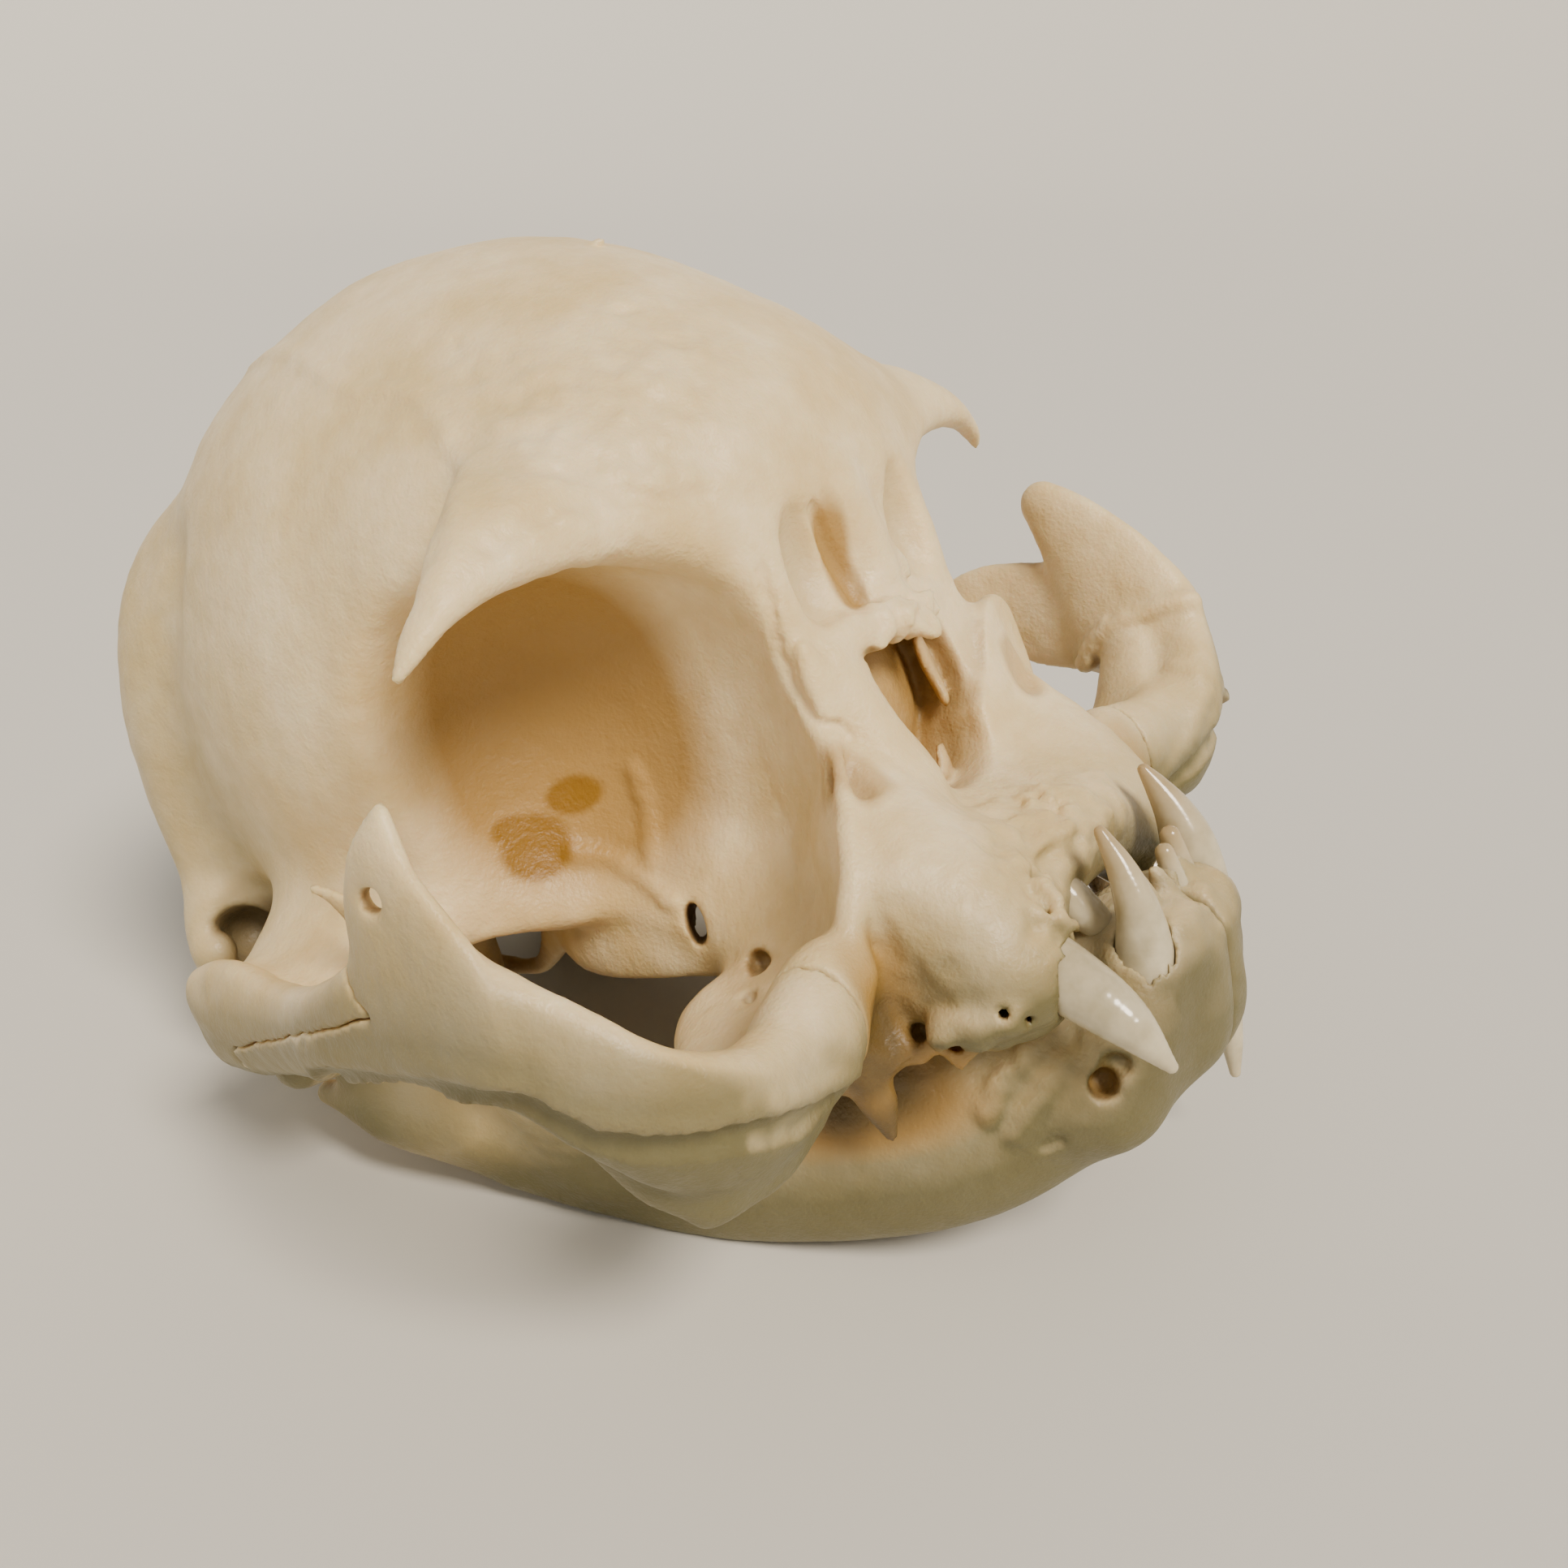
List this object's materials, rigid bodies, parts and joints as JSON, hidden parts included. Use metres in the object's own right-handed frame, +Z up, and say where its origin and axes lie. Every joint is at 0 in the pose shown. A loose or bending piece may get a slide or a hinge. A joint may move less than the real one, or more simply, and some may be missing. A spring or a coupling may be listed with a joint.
{
  "type": "cat skull",
  "caption": "Life-size skull of a short-faced domestic cat with its lower jaw closed, lying nose up on the jaw and the ear bullae.",
  "frame": {"origin": "centre of the bounding box in plan, on the floor that the skull lies on", "axes": "+X the skull's left, -Y the way the muzzle points, +Z up; the palate is tilted nose up by 16.6 degrees"},
  "size_m": [0.0784, 0.0866, 0.0614],
  "materials": {
    "bone": "dry cleaned bone, warm cream, fine pores, slightly see-through where thin",
    "enamel": "glossy greyish white tooth enamel"
  },
  "bodies": {
    "root": {"cranium": "bone", "upper_jaw": "bone", "cheekbone_right": "bone", "cheekbone_left": "bone", "lower_jaw_right": "bone", "lower_jaw_left": "bone", "upper_canine_right": "enamel", "upper_canine_left": "enamel", "lower_canine_right": "enamel", "lower_canine_left": "enamel"}
  },
  "joints": []
}
